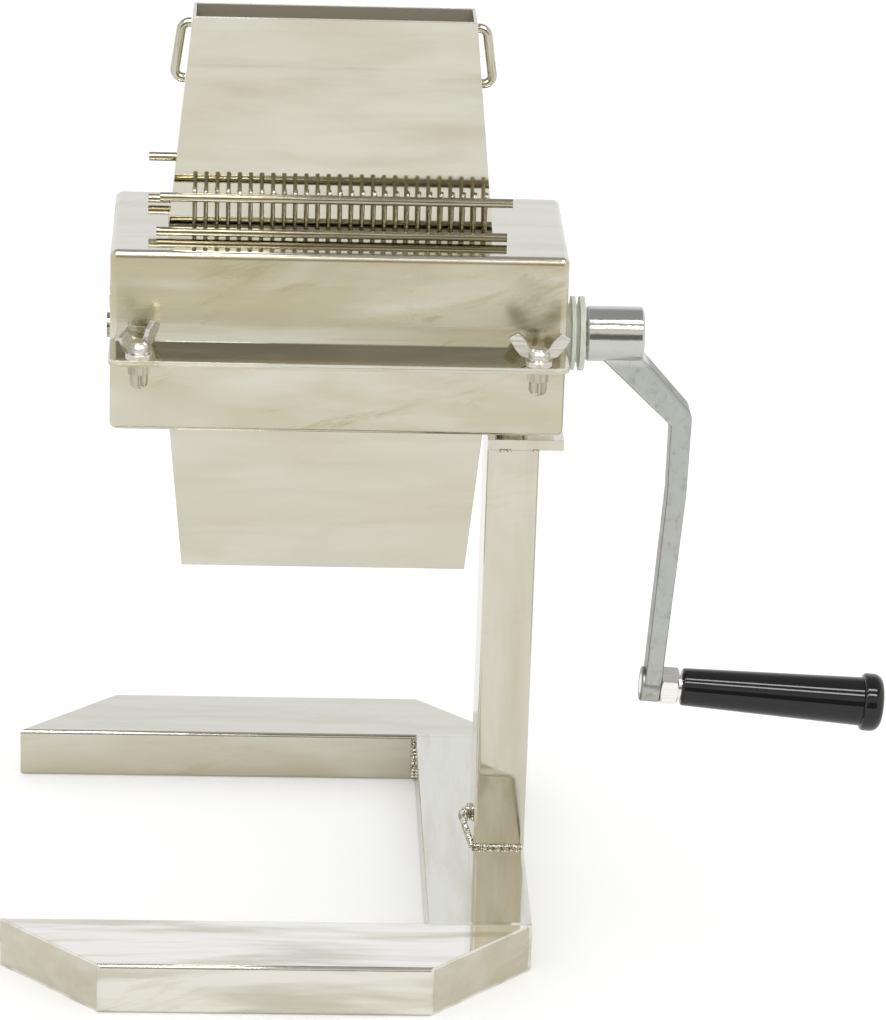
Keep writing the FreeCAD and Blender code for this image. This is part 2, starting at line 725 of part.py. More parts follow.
bore = "journal_diameter/2 + journal_clearance"
neck = "bush_neck_diameter/2"
collar = "bush_flange_diameter/2"
groove_end = "bush_outer_disc - crank_bush_reach"
groove_start = f"{groove_end} + bush_groove"
inner_disc_start = f"{groove_start} + bush_inner_disc"
inner = [("sheet_wall + bush_inside", bore), ("sheet_wall + bush_inside", collar),
         ("sheet_wall", collar), ("sheet_wall", neck)]
plain = [("0", bore)] + inner + [("0", neck)]
grooved = [("0 - crank_bush_reach", bore)] + inner + [
    (inner_disc_start, neck), (inner_disc_start, collar), (groove_start, collar), (groove_start, neck),
    (groove_end, neck), (groove_end, collar), ("0 - crank_bush_reach", collar)]
bush("bush_drive_left", -1, plain, head_left, 1)
bush("bush_driven_left", 1, plain, head_left, 1)
bush("bush_driven_right", 1, plain, head_right, -1)
bush("crank_bush", -1, grooved, head_right, -1)

# Crank. Its own x starts at the outside of the head's right wall, and z at the shafts.
at_crank = {"x": head_right, "y": f"0 - {shaft_y}", "z": split_z}
arm = new_body("crank_arm")
web = new_sketch(arm, "XZ_Plane", "0 - arm_depth/2")
eye_right = "(spindle_offset + eye_width/2/cos(arm_tilt))"
bend_right = f"({eye_right} + (crank_throw - arm_bend_drop)*tan(arm_tilt))"
polygon(web, [
    (f"{hub_end} - arm_root_outset", "0 - arm_root_drop"),
    ("elbow_outer_offset", "0 - elbow_outer_drop"),
    (bend_right, "0 - arm_bend_drop"),
    (eye_right, "0 - crank_throw"),
    (f"{eye_right} - arm_end_width", "0 - crank_throw"),
    (f"{bend_right} - arm_bend_width", "0 - arm_bend_drop"),
    ("elbow_inner_offset", "0 - elbow_inner_drop"),
    (f"{hub_start} + arm_root_inset", "0 - arm_root_drop"),
])
pad(arm, web, "arm_depth")
elbow = arm.Shape.BoundBox.XMax
round_edges(arm, "elbow_radius", lambda box: is_along(box, "Y") and box.XMax > elbow - 1e-3)
root_z = arm.Shape.BoundBox.ZMax
face_y = arm.Shape.BoundBox.YMax
round_edges(arm, "arm_edge_radius",
            lambda box: box.YLength < 1e-4 and abs(abs(box.YMax) - face_y) < 1e-3 and box.ZMin < root_z - 1)
hub = new_sketch(arm, "XZ_Plane")
polygon(hub, [(hub_start, "0"), (hub_end, "0"), (hub_end, "hub_diameter/2 - hub_bevel"),
              (f"{hub_end} - hub_bevel", "hub_diameter/2"), (f"{hub_start} + hub_bevel", "hub_diameter/2"),
              (hub_start, "hub_diameter/2 - hub_bevel")])
revolve(arm, hub, "H_Axis")
shaft_hole = new_sketch(arm, "YZ_Plane", f"{hub_start} - 1")
circle(shaft_hole, "0", "0", "journal_diameter/2")
pocket(arm, shaft_hole, "hub_length + 2", reverse=True)
set_screw_hole = new_sketch(arm, "XZ_Plane", "0 - hub_diameter/2 - 1")
circle(set_screw_hole, f"{hub_start} + hub_length/2", "0", "set_screw_diameter/2")
pocket(arm, set_screw_hole, "hub_diameter/2 + 1 - journal_diameter/2", reverse=True)


def about_spindle(points):
    # Points as distances along and from the spindle's axis, which runs square to the arm
    return [(f"spindle_offset + ({along})*cos(arm_tilt) + ({out})*sin(arm_tilt)",
             f"0 - crank_throw - ({along})*sin(arm_tilt) + ({out})*cos(arm_tilt)") for along, out in points]


eye = new_sketch(arm, "XZ_Plane")
polygon(eye, about_spindle([
    ("0 - eye_width/2", "0"), ("eye_width/2", "0"), ("eye_width/2", "eye_diameter/2 - eye_bevel"),
    ("eye_width/2 - eye_bevel", "eye_diameter/2"), ("eye_bevel - eye_width/2", "eye_diameter/2"),
    ("0 - eye_width/2", "eye_diameter/2 - eye_bevel"),
]))
revolve(arm, eye, "Edge1")
spindle_hole = new_sketch(arm, "XZ_Plane")
polygon(spindle_hole, about_spindle([
    ("0 - eye_width", "0"), ("eye_width", "0"),
    ("eye_width", "spindle_diameter/2"), ("0 - eye_width", "spindle_diameter/2"),
]))
revolve(arm, spindle_hole, "Edge1", "Groove")
place(arm, **at_crank)

set_screw = new_body("crank_set_screw")
grub = new_sketch(set_screw, "XZ_Plane", "set_screw_sink - hub_diameter/2")
circle(grub, f"{hub_start} + hub_length/2", "0", "set_screw_diameter/2")
pad(set_screw, grub, "hub_diameter/2 - set_screw_sink - journal_diameter/2")
socket = new_sketch(set_screw, "XZ_Plane", "set_screw_sink - hub_diameter/2")
hexagon(socket, "set_screw_diameter/2", f"{hub_start} + hub_length/2", "0")
pocket(set_screw, socket, "set_screw_diameter/2", reverse=True)
place(set_screw, **at_crank)

# Spindle, nut and grip stand square to the arm. Their own x starts in the eye's middle.
at_spindle = {"x": f"{head_right} + spindle_offset", "y": f"0 - {shaft_y}",
              "z": f"{split_z} - crank_throw", "axis": (0, 1, 0), "angle": "arm_tilt"}
nut_start = "(eye_width/2)"
nut_end = f"({nut_start} + spindle_nut_thickness)"
collar_end = f"({nut_end} + spindle_collar_length)"
grip_start = f"({collar_end} + grip_gap)"
grip_end = f"({grip_start} + grip_length)"
head_start = f"({grip_end} - grip_recess_depth + grip_play)"
spindle = new_body("spindle")
half_spindle = new_sketch(spindle, "XZ_Plane")
polygon(half_spindle, [
    ("0 - eye_width/2", "0"), (f"{head_start} + spindle_head_height", "0"),
    (f"{head_start} + spindle_head_height", "spindle_head_diameter/2"),
    (head_start, "spindle_head_diameter/2"), (head_start, "spindle_diameter/2"),
    (collar_end, "spindle_diameter/2"), (collar_end, "spindle_collar_diameter/2"),
    (nut_end, "spindle_collar_diameter/2"), (nut_end, "spindle_diameter/2"),
    ("0 - eye_width/2", "spindle_diameter/2"),
])
revolve(spindle, half_spindle, "H_Axis")
place(spindle, **at_spindle)

nut = new_body("spindle_nut")
nut_face = new_sketch(nut, "YZ_Plane", nut_start)
hexagon(nut_face, "spindle_nut_across")
circle(nut_face, "0", "0", "spindle_diameter/2")
pad(nut, nut_face, "spindle_nut_thickness")
# A cone from the flats' radius at each face takes off the corners. It ends well outside them.
bevels = new_sketch(nut, "XZ_Plane")
flat = "spindle_nut_across/2"
outside = "(2*spindle_nut_across/sqrt(3) - spindle_nut_across/2)"
for face, inward in ((nut_start, 1), (nut_end, -1)):
    polygon(bevels, [(face, flat), (f"{face} + {inward}*2*spindle_nut_bevel", outside), (face, outside)])
revolve(nut, bevels, "H_Axis", "Groove")
place(nut, **at_spindle)

grip = new_body("grip")
half_grip = new_sketch(grip, "XZ_Plane")
grip_bore = "spindle_diameter/2 + grip_clearance"
recess = "spindle_head_diameter/2 + grip_recess_clearance"
knob_start = f"{grip_end} - grip_knob_length"
polygon(half_grip, [
    (grip_start, grip_bore), (f"{grip_end} - grip_recess_depth", grip_bore),
    (f"{grip_end} - grip_recess_depth", recess), (grip_end, recess), (grip_end, "grip_knob_diameter/2"),
    (knob_start, "grip_knob_diameter/2"), (knob_start, "grip_end_diameter/2"),
    (grip_start, "grip_start_diameter/2"),
])
revolve(grip, half_grip, "H_Axis")
ends = grip.Shape.BoundBox
for radius, at_x, diameter in (("grip_knob_radius", ends.XMax, sizes["grip_knob_diameter"]),
                               ("grip_shoulder_radius", ends.XMax - sizes["grip_knob_length"],
                                sizes["grip_knob_diameter"]),
                               ("grip_start_radius", ends.XMin, sizes["grip_start_diameter"])):
    round_edges(grip, radius, lambda box: box.XLength < 1e-3 and abs(box.Center.x - at_x) < 1e-3
                and abs(box.ZLength - diameter) < 1e-3)
place(grip, **at_spindle)

# Check everything, then write each sub-part
doc.recompute()
for item in doc.Objects:
    if "Invalid" in item.State or "Error" in item.State:
        raise RuntimeError(f"{item.Name}: {item.State}")
for part in subparts:
    if part.Shape.isNull() or not part.Shape.isValid():
        raise RuntimeError(part.Label + ": its shape is not valid")
os.makedirs("parts", exist_ok=True)
for part in subparts:
    part.Shape.exportStep(f"parts/{part.Label}.step")
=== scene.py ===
import math
import bpy
import numpy as np
from mathutils import Matrix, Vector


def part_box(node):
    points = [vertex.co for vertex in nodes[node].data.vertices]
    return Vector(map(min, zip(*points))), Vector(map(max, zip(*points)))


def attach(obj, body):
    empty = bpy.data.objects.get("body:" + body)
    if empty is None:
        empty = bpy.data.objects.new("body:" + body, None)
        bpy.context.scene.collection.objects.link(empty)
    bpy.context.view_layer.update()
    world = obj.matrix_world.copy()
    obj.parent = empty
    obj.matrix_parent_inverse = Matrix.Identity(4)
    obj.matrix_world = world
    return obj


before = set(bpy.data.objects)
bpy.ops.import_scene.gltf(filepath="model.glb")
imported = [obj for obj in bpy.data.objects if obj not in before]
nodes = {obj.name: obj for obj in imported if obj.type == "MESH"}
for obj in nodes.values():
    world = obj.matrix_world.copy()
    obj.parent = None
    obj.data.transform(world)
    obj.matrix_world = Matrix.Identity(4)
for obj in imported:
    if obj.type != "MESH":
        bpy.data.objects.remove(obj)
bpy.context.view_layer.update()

rng = np.random.default_rng(27)
mm = 0.001
print("frame loaded:", len(nodes), "nodes")


def linear(hexColour):
    # sRGB hex to a linear colour with alpha
    parts = [int(hexColour[i:i + 2], 16) / 255 for i in (1, 3, 5)]
    return [c / 12.92 if c <= 0.04045 else ((c + 0.055) / 1.055) ** 2.4 for c in parts] + [1.0]


# node settings that come back often. A Mix node has its factor at 0, its numbers at 2 and 3 and its colours
# at 6 and 7, and gives the mixed colour at 2
times, plus, minus, unsigned = ({"operation": word} for word in ("MULTIPLY", "ADD", "SUBTRACT", "ABSOLUTE"))
smooth = {"interpolation_type": "SMOOTHSTEP"}
inColour = {"data_type": "RGBA"}


def addNode(tree, kind, inputs=(), output=0, **settings):
    # adds a node with its settings, fills its inputs in order or by name with values, hex colours or other
    # nodes' outputs, and gives back one of its own outputs
    node = tree.nodes.new("ShaderNode" + kind)
    for field, value in settings.items():
        setattr(node, field, value)
    for name, value in inputs.items() if isinstance(inputs, dict) else enumerate(inputs):
        if isinstance(value, bpy.types.NodeSocket):
            tree.links.new(value, node.inputs[name])
        else:
            node.inputs[name].default_value = linear(value) if isinstance(value, str) else value
    return node.outputs[output] if node.outputs else node


def newMaterial(name):
    material = bpy.data.materials.new(name)
    material.use_nodes = True
    material.node_tree.nodes.clear()
    return material, material.node_tree


def patternFields(tree, patterns, grain="X"):
    # one noise in object space for each pattern. Its size in mm is along x, y and z, or along the grain
    # and across it, and its slant turns it about y
    fields = {}
    for name, pattern in patterns.items():
        sizes = pattern["size"]
        if len(sizes) == 2:
            sizes = [sizes[0] if axis == grain else sizes[1] for axis in "XYZ"]
        space = addNode(tree, "Mapping", {"Vector": addNode(tree, "TexCoord", output="Object"),
                                          "Rotation": (0, math.radians(pattern.get("slant", 0)), 0),
                                          "Scale": [size * mm for size in sizes]}, vector_type="TEXTURE")
        fields[name] = addNode(tree, "TexNoise", {"Vector": space, "Scale": 1.0, "Detail": pattern["detail"],
                                                  "Roughness": pattern.get("rough", 0.5),
                                                  "Distortion": pattern.get("warp", 0.0)})
    return fields


# Mirror-polished austenitic stainless: bright and faintly warm, with a thin haze left by the buffing
# wheel, slanting brownish polish smears and a few pin-prick pits. Sheet walls lean out of true by a
# degree or so, which only the reflections show. Sizes in mm, slants in degrees.
stainless = {
    # the yellowish colour is partly tarnish and partly painted reflection of the warm room in front, mirrored
    # by the walls
    "clean": "#d9d7ca", "hazed": "#d2cfbf", "paintedReflectionAndTarnish": "#bcb08c", "smear": "#b3a684", "pit": "#5d5546",
    "scrape": "#4b463d", "unpolished": "#c4bfae",
    "patterns": {
        "haze": {"size": (90, 11), "detail": 4.0, "rough": 0.55, "warp": 0.3},
        "smear": {"size": (42, 42, 9), "slant": -17, "detail": 7.0, "rough": 0.72, "warp": 0.5},
        "patch": {"size": (62, 62, 62), "detail": 2.0},  # where smears gather
        "paintedReflectionAndTarnish": {"size": (130, 34), "detail": 3.0, "warp": 0.8},
        "wave": {"size": (75, 75, 75), "detail": 1.0},
        "line": {"size": (40, 0.7), "detail": 2.0},  # polishing lines, drawn ten times as coarse as they are
    },
    "scrapes": {"scrape": {"size": (3.5, 3.5, 0.7), "slant": -14, "detail": 2.0}},
    # noise values between which each mark comes in
    "hazeIn": (0.4, 0.7), "hazeDulls": (0.35, 0.75), "smearIn": (0.49, 0.62), "patchIn": (0.48, 0.62),
    "paintedReflectionAndTarnishIn": (0.35, 0.65), "scrapeIn": (0.58, 0.66),
    "flat": (0.4, 0.8),  # upward share of the normal between which a wall turns into a flat top
    "smearOnFlat": 0.35, "cleanAbove": (0, 22), "satinAbove": (9, 13),
    "pitSpacing": 34, "pitRadius": 0.4, "pitRim": (0.6, 1.3), "pitShown": 0.85,
    "rough": (0.035, 0.12), "smearRough": 0.1, "scrapeRough": 0.3, "unpolishedRough": 0.5,
    "inwards": (-2, -1), "waveHeight": 0.016, "lineHeight": 0.0003, "edge": 0.45,
}

hopperLow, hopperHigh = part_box("hopper")
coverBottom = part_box("cover")[0].z

# smeared, the share of yellowish colour and satin say how far the walls show smears, a yellowish colour and
# a duller polish, lean is the walls' slope, and grain the way of polishing. The yellowish colour goes on the
# walls only: it is partly tarnish and partly painted reflection, the warm room in front as the walls mirror
# it.
# Just above the flange the wall is clean and bright. The funnels aren't polished on the faces that look at
# the feed's axis, and one place on the front leg is scraped.
stainlessPieces = {
    "stainlessCover": {"nodes": ["cover"], "grain": "X", "smeared": 0.5, "paintedReflectionAndTarnishShown": 0.75, "satin": 0.22,
                       "lean": 0.028, "flange": coverBottom},
    "stainlessHousing": {"nodes": ["lower_housing"], "grain": "X", "smeared": 0.6, "paintedReflectionAndTarnishShown": 0.45,
                         "satin": 0.05},
    "stainlessFunnel": {"nodes": ["hopper", "lower_chute"], "grain": "X", "smeared": 0.06, "paintedReflectionAndTarnishShown": 0.2,
                        "feedAxis": (hopperLow + hopperHigh) / 2},
    "stainlessFrontLeg": {"nodes": ["base_front_leg"], "grain": "X", "smeared": 0.2, "paintedReflectionAndTarnishShown": 0.06,
                          # clean is lighter than on the other steel: a painted brightening for the brighter
                          # floor reflection the front leg shows
                          "clean": "#f1efe7",
                          "scraped": {"x": -17, "z": 20.3, "halfLength": 13, "halfHeight": 4, "y": -110.5,
                                      "fadeX": 0.6, "fadeZ": 0.5, "fadeY": 0.2}},
    "stainlessRearLeg": {"nodes": ["base_rear_leg", "base_end_caps"], "grain": "X", "smeared": 0.2,
                         "paintedReflectionAndTarnishShown": 0.35},
    "stainlessBeam": {"nodes": ["base_side_beam"], "grain": "Y", "smeared": 0.06, "paintedReflectionAndTarnishShown": 0.2,
                      "clean": "#dddcd2"},
    "stainlessPost": {"nodes": ["post", "mounting_plate"], "grain": "Z", "smeared": 0.12, "paintedReflectionAndTarnishShown": 0.25},
}


def scrapedPlace(tree, place, scraped):
    # 1 on the dashes of the scraped place, which ends at halfLength and halfHeight from its middle and
    # behind y
    nearness = []
    for axis, middle, reach, fade in (("X", scraped["x"], scraped["halfLength"], scraped["fadeX"]),
                                      ("Z", scraped["z"], scraped["halfHeight"], scraped["fadeZ"])):
        offset = addNode(tree, "Math", (addNode(tree, "SeparateXYZ", (place,), axis), middle * mm), **minus)
        offset = addNode(tree, "Math", (offset,), **unsigned)
        near = (offset, reach * mm * fade, reach * mm, 1.0, 0.0)
        nearness.append(addNode(tree, "MapRange", near, **smooth))
    inside = addNode(tree, "Math", nearness, **times)
    edge = scraped["y"] * mm
    inFront = addNode(tree, "MapRange", (addNode(tree, "SeparateXYZ", (place,), "Y"), edge,
                                         edge + scraped["fadeY"] * mm, 1.0, 0.0), **smooth)
    inside = addNode(tree, "Math", (inside, inFront), **times)
    dashes = patternFields(tree, stainless["scrapes"])["scrape"]
    dashes = addNode(tree, "MapRange", (dashes, *stainless["scrapeIn"]), **smooth)
    return addNode(tree, "Math", (inside, dashes), **times)


def lookingInwards(tree, place, facing, axis):
    # 1 on the faces of a funnel that look at its upright axis: there the normal times the level distance
    # from the axis comes out negative
    outward = addNode(tree, "VectorMath", (place, (axis.x, axis.y, 0)), **minus)
    outward = addNode(tree, "VectorMath", (outward, (1, 1, 0)), **times)
    outward = addNode(tree, "VectorMath", (outward, facing), "Value", operation="DOT_PRODUCT")
    inwards = [limit * mm for limit in stainless["inwards"]]
    return addNode(tree, "MapRange", (outward, *inwards, 1.0, 0.0), **smooth)


def polishedStainless(name, piece):
    look = stainless
    material, tree = newMaterial(name)
    place, facing = [addNode(tree, "TexCoord", output=kind) for kind in ("Object", "Normal")]
    field = patternFields(tree, look["patterns"], piece["grain"])
    upward = addNode(tree, "Math", (addNode(tree, "SeparateXYZ", (facing,), "Z"),), **unsigned)
    wall = addNode(tree, "MapRange", (upward, *look["flat"], 1.0, 0.0), **smooth)

    # how far each mark shows
    smear = addNode(tree, "Math", [addNode(tree, "MapRange", (field[mark], *look[mark + "In"]), **smooth)
                                   for mark in ("smear", "patch")], **times)
    smear = addNode(tree, "Math", (smear, piece["smeared"]), **times)
    paintedReflectionAndTarnish = addNode(tree, "MapRange", (field["paintedReflectionAndTarnish"], *look["paintedReflectionAndTarnishIn"], 0.0, piece["paintedReflectionAndTarnishShown"]),
                      **smooth)
    satin = addNode(tree, "Math", (wall, piece.get("satin", 0.0)), **times)
    if "flange" in piece:
        base, height = piece["flange"], addNode(tree, "SeparateXYZ", (place,), "Z")
        above, dull = [addNode(tree, "MapRange", (height, base + low * mm, base + high * mm), **smooth)
                       for low, high in (look["cleanAbove"], look["satinAbove"])]
        paintedReflectionAndTarnish = addNode(tree, "Math", (paintedReflectionAndTarnish, above), **times)
        satin = addNode(tree, "Math", (satin, dull), **times)
    pitSpace = addNode(tree, "Mapping", {"Vector": place, "Scale": [look["pitSpacing"] * mm] * 3},
                       vector_type="TEXTURE")
    pit = addNode(tree, "TexVoronoi", {"Vector": pitSpace, "Scale": 1.0, "Randomness": 1.0}, "Distance")
    pitEdge = look["pitRadius"] / look["pitSpacing"]
    pit = addNode(tree, "MapRange", (pit, *(pitEdge * rim for rim in look["pitRim"]), look["pitShown"], 0.0),
                  **smooth)
    smearShare = addNode(tree, "Mix", {0: wall, 2: look["smearOnFlat"], 3: 1.0})
    # the yellowish colour goes on walls only, partly tarnish and partly painted reflection of the warm room
    # in front
    marks = {"paintedReflectionAndTarnish": addNode(tree, "Math", (paintedReflectionAndTarnish, wall), **times),
             "smear": addNode(tree, "Math", (smear, smearShare), **times), "pit": pit}
    if "scraped" in piece:
        marks["scrape"] = scrapedPlace(tree, place, piece["scraped"])
    if "feedAxis" in piece:
        marks["unpolished"] = lookingInwards(tree, place, facing, piece["feedAxis"])

    hazed = addNode(tree, "MapRange", (field["haze"], *look["hazeIn"]), **smooth)
    clean = piece.get("clean", look["clean"])
    shade = addNode(tree, "Mix", {0: hazed, 6: clean, 7: look["hazed"]}, 2, **inColour)
    for mark, share in marks.items():
        shade = addNode(tree, "Mix", {0: share, 6: shade, 7: look[mark]}, 2, **inColour)

    rough = addNode(tree, "MapRange", (field["haze"], *look["hazeDulls"], *look["rough"]), **smooth)
    smearRough = addNode(tree, "Math", (smear, look["smearRough"]), **times)
    rough = addNode(tree, "Math", (rough, smearRough), **plus)
    rough = addNode(tree, "Math", (rough, satin), **plus)
    if "scraped" in piece:
        scrapeRough = addNode(tree, "Math", (marks["scrape"], look["scrapeRough"]), **times)
        rough = addNode(tree, "Math", (rough, scrapeRough), **plus)
    if "feedAxis" in piece:
        rough = addNode(tree, "Mix", {0: marks["unpolished"], 2: rough, 3: look["unpolishedRough"]})

    normal = addNode(tree, "Bevel", {"Radius": look["edge"] * mm}, samples=4)
    normal = addNode(tree, "VectorMath", (normal, (0, 0, -piece.get("lean", 0.0))), **plus)
    normal = addNode(tree, "VectorMath", (normal,), operation="NORMALIZE")
    for relief in ("wave", "line"):
        normal = addNode(tree, "Bump", {"Height": field[relief], "Normal": normal, "Strength": 1.0,
                                        "Distance": look[relief + "Height"] * mm})
    shader = addNode(tree, "BsdfPrincipled", {"Metallic": 1.0, "Base Color": shade, "Roughness": rough,
                                              "Normal": normal})
    addNode(tree, "OutputMaterial", {"Surface": shader})
    return material


# Bright drawn or turned steel of the rods, tines, wires and nickel-plated fasteners: drawing lines run
# lengthwise, drawn about five times as coarse as they are
drawn = {"patterns": {"line": {"size": (30, 0.9), "detail": 2.0}}, "wornIn": (0.4, 0.7),
         "dullIn": (0.3, 0.75), "dulled": 0.06, "edge": 0.25}

drawnPieces = {
    "drawnRod": {"clean": "#b9b39e", "worn": "#978f78", "grain": "X", "rough": 0.1,
                 "nodes": ["mounting_bosses", "drive_shaft", "driven_shaft", "drive_gear", "driven_gear",
                           "drive_spacers", "driven_spacers"]
                          + [name for name in nodes if "comb" in name and "rod" in name]},
    "drawnTine": {"clean": "#a8a18b", "worn": "#8a826b", "grain": "Z", "rough": 0.14,
                  "nodes": [name for name in nodes if "tines" in name]},
    "drawnWire": {"clean": "#cdc9b8", "worn": "#b5af9b", "grain": "Z", "rough": 0.1,
                  "nodes": ["hopper_handle_left", "hopper_handle_right"]},
    "nickelPlatedFastener": {"clean": "#fbfaf8", "worn": "#efeeea", "grain": "X", "rough": 0.16,
                             "nodes": ["flange_washers", "mounting_screws", "crank_set_screw", "spindle_nut",
                                       "spindle"]},
    "nickelPlatedCapNut": {"clean": "#c3bfae", "worn": "#9a947e", "grain": "Z", "rough": 0.08,
                           "nodes": ["cap_nuts"]},
    "nickelPlatedWing": {"clean": "#dbd9d0", "worn": "#c2bfb3", "grain": "X", "rough": 0.26,
                         "nodes": [name for name in nodes if name.startswith("wing_screw")]},
    "groundBlade": {"clean": "#cfcdc6", "worn": "#bcb9af", "grain": "Z", "rough": 0.2,
                    "nodes": ["drive_knives", "driven_knives"]},
}


def drawnSteel(name, piece):
    material, tree = newMaterial(name)
    line = patternFields(tree, drawn["patterns"], piece["grain"])["line"]
    worn = addNode(tree, "MapRange", (line, *drawn["wornIn"]), **smooth)
    shade = addNode(tree, "Mix", {0: worn, 6: piece["clean"], 7: piece["worn"]}, 2, **inColour)
    dull = piece["rough"] + drawn["dulled"]
    rough = addNode(tree, "MapRange", (line, *drawn["dullIn"], piece["rough"], dull), **smooth)
    normal = addNode(tree, "Bevel", {"Radius": drawn["edge"] * mm}, samples=4)
    shader = addNode(tree, "BsdfPrincipled", {"Metallic": 1.0, "Base Color": shade, "Roughness": rough,
                                              "Normal": normal})
    addNode(tree, "OutputMaterial", {"Surface": shader})
    return material


# Nickel-plated casting of the crank: grey, softly rough with the mould's texture, with darker sooty
# blotches, and darker along its edges and creases. The arm's sides are left as cast, its front is linished
# and the hub turned bright; its lower end is hubDrop below the cover.
casting = {
    "hub": "#cccec9", "front": "#bcbeba", "side": "#868783", "blotch": "#767873", "rim": "#5f615d",
    "patterns": {
        "grain": {"size": (1.1, 1.1, 1.1), "detail": 4.0, "rough": 0.6},
        "cloud": {"size": (7, 7, 7), "detail": 5.0, "rough": 0.7, "warp": 0.6},
        "vein": {"size": (7, 7, 17.5), "detail": 5.0, "rough": 0.75, "warp": 2.0},
    },
    "cloudIn": (0.5, 0.75, 0.0, 0.45), "veinIn": (0.57, 0.67, 0.0, 0.3), "frontIn": (0.5, 0.85),
    "hubDrop": 13, "hubIn": (-2, 3), "hubBlotch": 0.3, "rimIn": (0.9, 0.995, 0.75, 0.0),
    "roughArm": (0.3, 0.8, 0.27, 0.41), "roughHub": 0.13, "edge": 0.7,
    "cloudHeight": 4.0, "relief": 0.035, "reliefShown": 0.5,
}


def platedCasting(name):
    look = casting
    material, tree = newMaterial(name)
    field = patternFields(tree, look["patterns"])
    height = addNode(tree, "SeparateXYZ", (addNode(tree, "TexCoord", output="Object"),), "Z")
    facing = addNode(tree, "SeparateXYZ", (addNode(tree, "TexCoord", output="Normal"),), "Y")
    front = addNode(tree, "Math", (facing,), **unsigned)
    front = addNode(tree, "MapRange", (front, *look["frontIn"]), **smooth)
    hubLow = coverBottom - look["hubDrop"] * mm
    hub = addNode(tree, "MapRange", (height, *(hubLow + limit * mm for limit in look["hubIn"])), **smooth)
    blotch = addNode(tree, "Math", [addNode(tree, "MapRange", (field[mark], *look[mark + "In"]), **smooth)
                                    for mark in ("cloud", "vein")], use_clamp=True, **plus)
    blotchShare = addNode(tree, "Mix", {0: hub, 2: 1.0, 3: look["hubBlotch"]})
    blotch = addNode(tree, "Math", (blotch, blotchShare), **times)

    # darker along edges and creases, where the rounded normal leaves the flat one; not on the hub
    rounded = addNode(tree, "Bevel", {"Radius": look["edge"] * mm}, samples=6)
    flat = addNode(tree, "NewGeometry", output="True Normal")
    flatness = addNode(tree, "VectorMath", (rounded, flat), "Value", operation="DOT_PRODUCT")
    edgeDarkening = addNode(tree, "MapRange", (flatness, *look["rimIn"]), **smooth)
    edgeDarkeningShare = addNode(tree, "Mix", {0: hub, 2: 1.0, 3: 0.0})
    edgeDarkening = addNode(tree, "Math", (edgeDarkening, edgeDarkeningShare), **times)

    shade = addNode(tree, "Mix", {0: front, 6: look["side"], 7: look["front"]}, 2, **inColour)
    for mark, share in (("hub", hub), ("blotch", blotch), ("rim", edgeDarkening)):
        shade = addNode(tree, "Mix", {0: share, 6: shade, 7: look[mark]}, 2, **inColour)
    rough = addNode(tree, "MapRange", (field["cloud"], *look["roughArm"]), **smooth)
    rough = addNode(tree, "Mix", {0: hub, 2: rough, 3: look["roughHub"]})
    relief = addNode(tree, "Math", (field["cloud"], look["cloudHeight"]), **times)
    relief = addNode(tree, "Math", (field["grain"], relief), **plus)
    normal = addNode(tree, "Bevel", {"Radius": look["edge"] * mm}, samples=4)
    normal = addNode(tree, "Bump", {"Height": relief, "Normal": normal, "Distance": look["relief"] * mm,
                                    "Strength": look["reliefShown"]})
    shader = addNode(tree, "BsdfPrincipled", {"Metallic": 1.0, "Base Color": shade, "Roughness": rough,
                                              "Normal": normal})
    addNode(tree, "OutputMaterial", {"Surface": shader})
    return material


# Turned natural nylon: milky, lets a little light in, with faint turning rings, drawn coarser than they are
nylon = {"clean": "#dfe2d6", "ringed": "#ced3c4", "patterns": {"ring": {"size": (0.5, 6, 6), "detail": 2.0}},
         "ringIn": (0.35, 0.75), "rough": (0.3, 0.7, 0.3, 0.42), "edge": 0.4,
         "lightIn": (4, 4, 3), "lightShare": 0.2, "lightScale": 0.5}


def naturalNylon(name):
    look = nylon
    material, tree = newMaterial(name)
    ring = patternFields(tree, look["patterns"])["ring"]
    ringed = addNode(tree, "MapRange", (ring, *look["ringIn"]), **smooth)
    shade = addNode(tree, "Mix", {0: ringed, 6: look["clean"], 7: look["ringed"]}, 2, **inColour)
    rough = addNode(tree, "MapRange", (ring, *look["rough"]), **smooth)
    normal = addNode(tree, "Bevel", {"Radius": look["edge"] * mm}, samples=4)
    shader = addNode(tree, "BsdfPrincipled", {
        "Base Color": shade, "Roughness": rough, "Normal": normal, "Subsurface Weight": look["lightShare"],
        "Subsurface Radius": [depth * mm for depth in look["lightIn"]],
        "Subsurface Scale": look["lightScale"]})
    addNode(tree, "OutputMaterial", {"Surface": shader})
    return material


# Moulded phenolic grip: deep gloss black with the faint ripple of the mould and fine handling marks
phenolic = {"clean": "#101012", "marked": "#17171a", "markIn": (0.5, 0.8), "rough": (0.4, 0.8, 0.045, 0.12),
            "patterns": {"mark": {"size": (6, 0.8, 0.8), "detail": 4.0},
                         "ripple": {"size": (12, 5, 5), "detail": 1.0}},
            "rippleHeight": 0.012, "rippleShown": 0.6}


def mouldedPhenolic(name):
    look = phenolic
    material, tree = newMaterial(name)
    field = patternFields(tree, look["patterns"])
    marked = addNode(tree, "MapRange", (field["mark"], *look["markIn"]), **smooth)
    shade = addNode(tree, "Mix", {0: marked, 6: look["clean"], 7: look["marked"]}, 2, **inColour)
    rough = addNode(tree, "MapRange", (field["mark"], *look["rough"]), **smooth)
    normal = addNode(tree, "Bump", {"Height": field["ripple"], "Distance": look["rippleHeight"] * mm,
                                    "Strength": look["rippleShown"]})
    shader = addNode(tree, "BsdfPrincipled", {"Base Color": shade, "Roughness": rough, "Normal": normal})
    addNode(tree, "OutputMaterial", {"Surface": shader})
    return material


